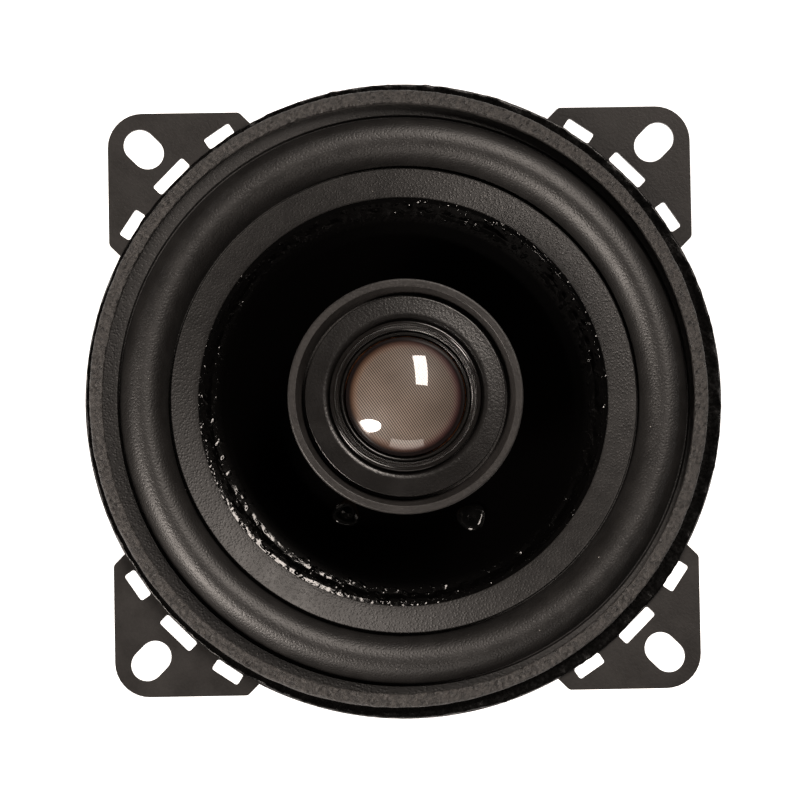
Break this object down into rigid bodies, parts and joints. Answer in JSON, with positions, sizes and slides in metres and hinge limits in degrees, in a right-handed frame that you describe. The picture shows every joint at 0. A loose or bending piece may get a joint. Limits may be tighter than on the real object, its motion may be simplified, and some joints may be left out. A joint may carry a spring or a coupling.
{
  "type": "coaxial car speaker",
  "caption": "Round coaxial car speaker: steel basket with slotted ears, rubber-edged cone and a dome tweeter on a centre post.",
  "frame": {"origin": "on the speaker's axis, in the plane of the ears' back face, which is the face that seats on the panel", "axes": "+Z along the axis towards the listener; +X and +Y through two neighbouring ears; the terminals lie between -X and -Y"},
  "size_m": [0.1266, 0.1266, 0.0553],
  "materials": {
    "basket_steel": "black satin powder coat",
    "gasket_fibre": "grainy grey-black pressed fibre",
    "surround_rubber": "matt black rubber with a fine grain",
    "cone_paper": "black paper with a glossy coating, rough near the edge",
    "black_glue": "glossy black glue",
    "former_film": "amber polyimide film",
    "copper_wire": "enamelled copper",
    "spider_cloth": "resin-stiffened pleated cloth",
    "plated_steel": "dark zinc plating",
    "ferrite": "matt dark grey ferrite",
    "board_laminate": "brown phenolic laminate",
    "rivet_steel": "bright zinc",
    "terminal_brass": "tinned brass",
    "tinsel_braid": "copper tinsel braid",
    "capacitor_sleeve": "dark blue shrink sleeve",
    "tinned_wire": "tinned wire",
    "red_insulation": "red PVC insulation",
    "black_insulation": "black PVC insulation",
    "pod_plastic": "black satin moulded plastic",
    "plated_fixing": "zinc-plated steel",
    "bezel_plastic": "fine-textured black plastic",
    "ring_plastic": "glossy black ribbed plastic",
    "edge_film": "black coated film",
    "dome_weave": "translucent woven dome with a glossy coating",
    "tweeter_steel": "bright nickel plating",
    "neodymium": "nickel-plated neodymium",
    "felt": "grey-beige felt"
  },
  "bodies": {
    "chassis": {"basket": "basket_steel", "front_gasket": "gasket_fibre", "surround": "surround_rubber", "spider": "spider_cloth", "top_plate": "plated_steel", "plate_rivets": "plated_steel", "magnet": "ferrite", "t_yoke": "plated_steel", "terminal_board": "board_laminate", "board_rivets": "rivet_steel", "terminal_positive": "terminal_brass", "terminal_negative": "terminal_brass", "terminal_rivets": "rivet_steel", "tinsel_lead_positive": "tinsel_braid", "tinsel_lead_negative": "tinsel_braid", "crossover_capacitor": "capacitor_sleeve", "capacitor_leads": "tinned_wire", "tweeter_wire_positive": "red_insulation", "tweeter_wire_negative": "black_insulation", "tweeter_post": "pod_plastic", "post_stud": "plated_fixing", "post_washer": "plated_fixing", "post_nut": "plated_fixing", "tweeter_housing": "pod_plastic", "tweeter_bezel": "bezel_plastic", "tweeter_retaining_ring": "ring_plastic", "tweeter_edge": "edge_film", "tweeter_yoke": "tweeter_steel", "tweeter_magnet": "neodymium", "tweeter_pole_plate": "tweeter_steel", "tweeter_felt_pad": "felt", "tweeter_terminals": "terminal_brass"},
    "cone_assembly": {"cone": "cone_paper", "lead_glue_dabs": "black_glue", "voice_coil_former": "former_film", "voice_coil_winding": "copper_wire"},
    "tweeter_diaphragm": {"tweeter_dome": "dome_weave", "tweeter_coil_former": "former_film", "tweeter_coil": "copper_wire"}
  },
  "joints": [
    {"name": "cone_travel", "type": "slide", "parent": "chassis", "child": "cone_assembly", "axis": [0, 0, 1], "range_m": [-0.003, 0.003], "stiffness_N_per_m": 1700, "deforming": ["surround", "spider", "tinsel_lead_positive", "tinsel_lead_negative"]},
    {"name": "tweeter_travel", "type": "slide", "parent": "chassis", "child": "tweeter_diaphragm", "axis": [0, 0, 1], "range_m": [-0.0003, 0.0003], "stiffness_N_per_m": 1000, "deforming": ["tweeter_edge"]}
  ]
}
